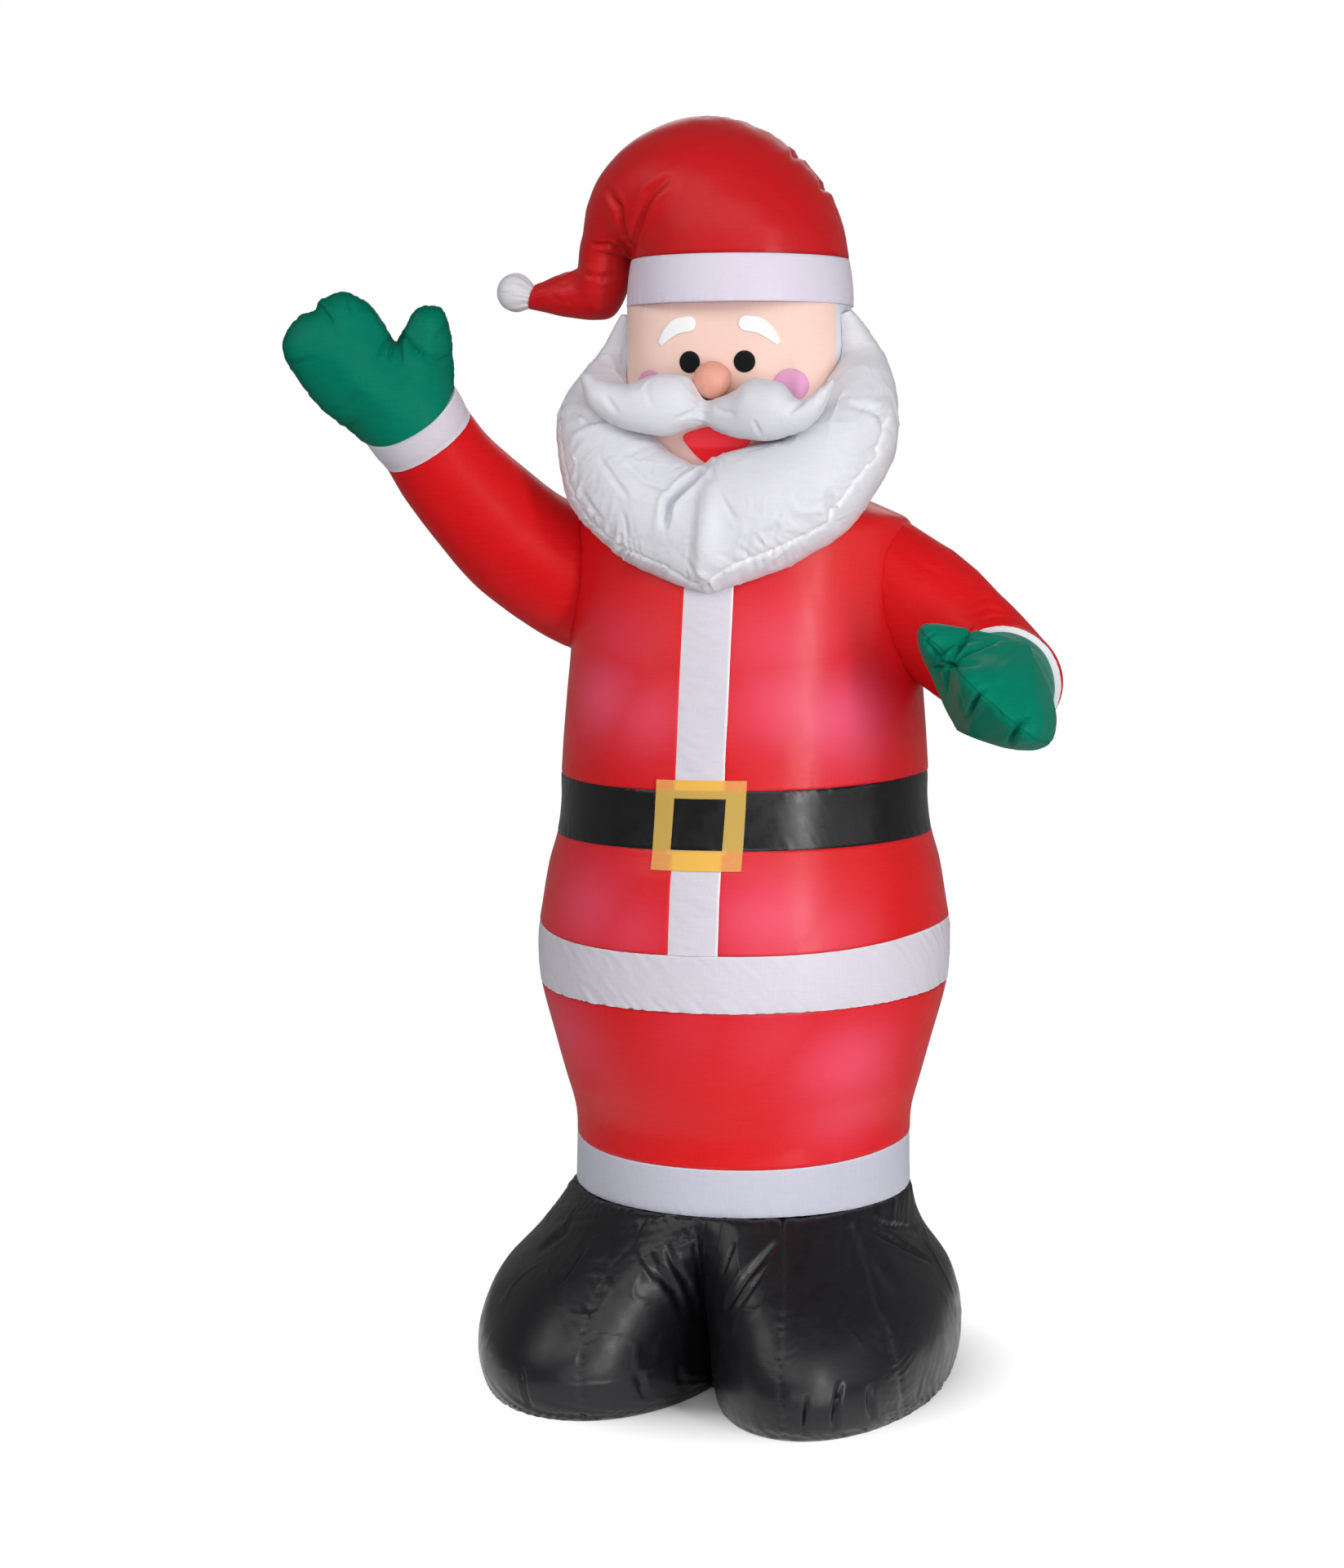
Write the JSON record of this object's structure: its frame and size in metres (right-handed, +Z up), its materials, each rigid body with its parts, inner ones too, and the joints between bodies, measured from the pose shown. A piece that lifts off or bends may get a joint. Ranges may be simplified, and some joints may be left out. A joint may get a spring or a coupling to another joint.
{
  "type": "inflatable santa",
  "caption": "Blown-up cloth Santa figure for the garden, standing on wide boots, with a drooping hat, full beard, belt, a raised arm and a bent arm in mittens.",
  "frame": {"origin": "on the flat sole, under the middle of the torso", "axes": "+Z up the figure, -Y towards what the figure faces, +X on the side of the bent arm"},
  "size_m": [1.0762, 0.6892, 1.7982],
  "materials": {
    "red_cloth": "smooth polyester taffeta, satin",
    "white_cloth": "smooth polyester taffeta, satin",
    "black_cloth": "smooth polyester taffeta, satin",
    "green_cloth": "smooth polyester taffeta, satin",
    "skin_cloth": "smooth polyester taffeta, matt",
    "gold_cloth": "thin polyester taffeta, satin",
    "nose_cloth": "smooth polyester taffeta, satin",
    "mouth_cloth": "smooth polyester taffeta, matt",
    "cheek_cloth": "smooth polyester taffeta, matt",
    "beard_cloth": "smooth polyester taffeta, satin"
  },
  "bodies": {
    "root": {"boots": "black_cloth", "trouser_cuff": "white_cloth", "trousers": "red_cloth", "coat_hem": "white_cloth", "coat_skirt": "red_cloth", "belt": "black_cloth", "coat_body": "red_cloth", "placket_upper": "white_cloth", "placket_lower": "white_cloth", "buckle": "gold_cloth", "sleeve_raised": "red_cloth", "sleeve_bent": "red_cloth", "cuff_raised": "white_cloth", "cuff_bent": "white_cloth", "mitten_raised": "green_cloth", "mitten_bent": "green_cloth", "face": "skin_cloth", "hair": "beard_cloth", "beard": "beard_cloth", "moustache": "beard_cloth", "nose": "nose_cloth", "mouth": "mouth_cloth", "eye_left": "black_cloth", "eye_right": "black_cloth", "eyebrow_left": "beard_cloth", "eyebrow_right": "beard_cloth", "cheek_left": "cheek_cloth", "cheek_right": "cheek_cloth", "hat_crown": "red_cloth", "hat_band": "white_cloth", "hat_pompom": "beard_cloth"}
  },
  "joints": []
}
